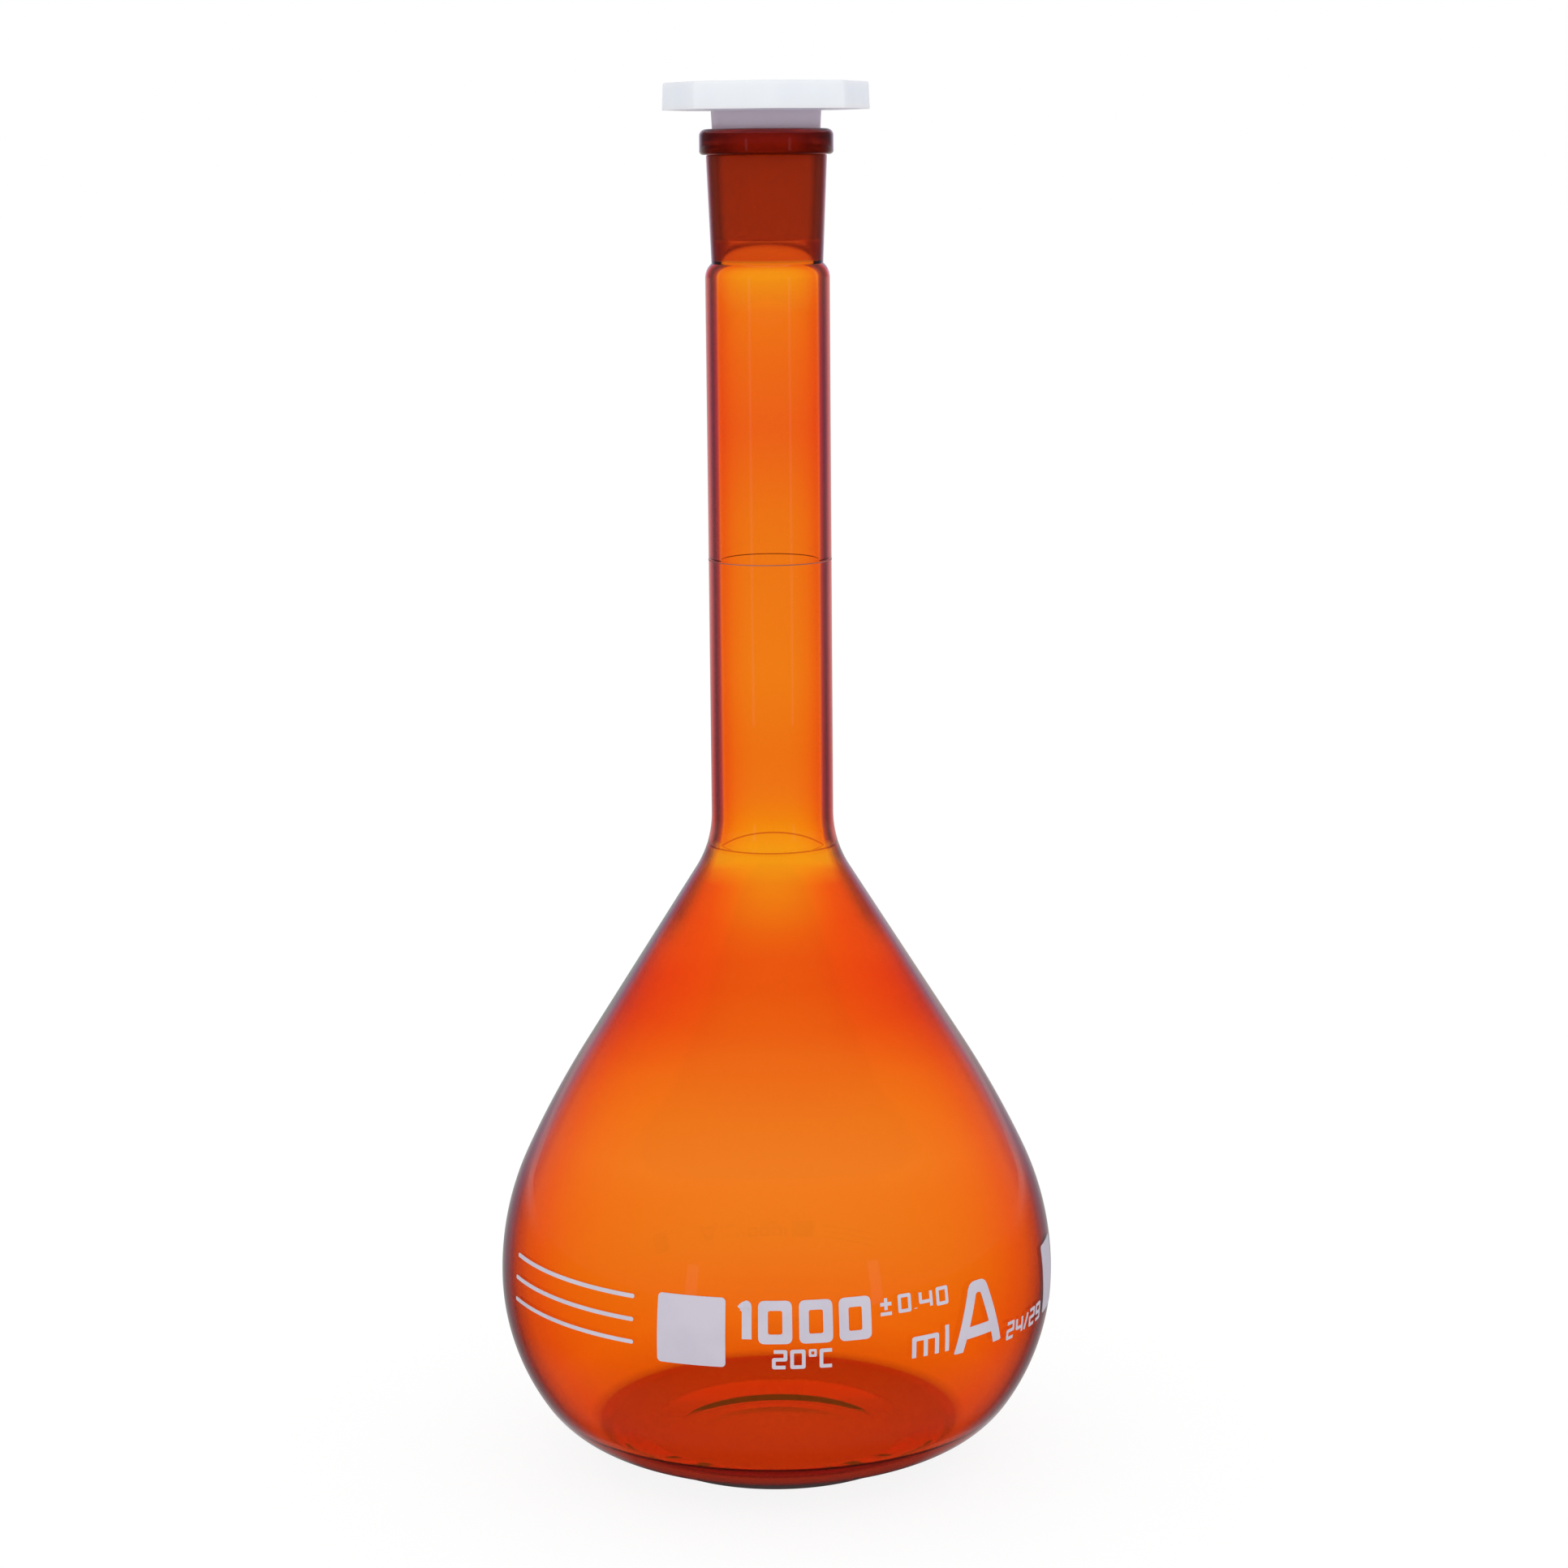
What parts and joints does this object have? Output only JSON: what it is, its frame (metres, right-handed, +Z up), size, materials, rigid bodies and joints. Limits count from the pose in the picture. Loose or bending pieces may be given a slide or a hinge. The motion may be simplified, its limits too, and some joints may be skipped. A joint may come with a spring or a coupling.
{
  "type": "volumetric flask",
  "caption": "Amber volumetric flask with a round bulb, a long neck with a filling line, a ground neck joint and an octagonal plastic stopper that lifts out.",
  "frame": {"origin": "centre of the ring that the flask stands on, at bench height", "axes": "+Z up along the neck, -Y towards the front of the bulb with the big digits, +X to the right"},
  "size_m": [0.1262, 0.1263, 0.31],
  "materials": {
    "amber_glass": "clear amber borosilicate glass, polished",
    "ground_glass": "amber borosilicate glass, ground matt on the inner cone",
    "polyethylene": "natural white polyethylene, satin and slightly translucent",
    "enamel": "white enamel fired on the glass, satin",
    "line_stain": "dark brown diffusion stain, satin"
  },
  "bodies": {
    "flask": {"bulb": "amber_glass", "neck_tube": "amber_glass", "joint_socket": "ground_glass", "fill_line": "line_stain", "writing_panel": "enamel", "ruled_lines": "enamel", "side_panel": "enamel", "capacity_mark": "enamel", "unit_mark": "enamel", "tolerance_mark": "enamel", "temperature_mark": "enamel", "class_mark": "enamel", "joint_size_mark": "enamel"},
    "plug": {"stopper": "polyethylene"}
  },
  "joints": [
    {"name": "stopper_lift", "type": "slide", "parent": "flask", "child": "plug", "axis": [0, 0, 1], "range_m": [0, 0.045]}
  ]
}
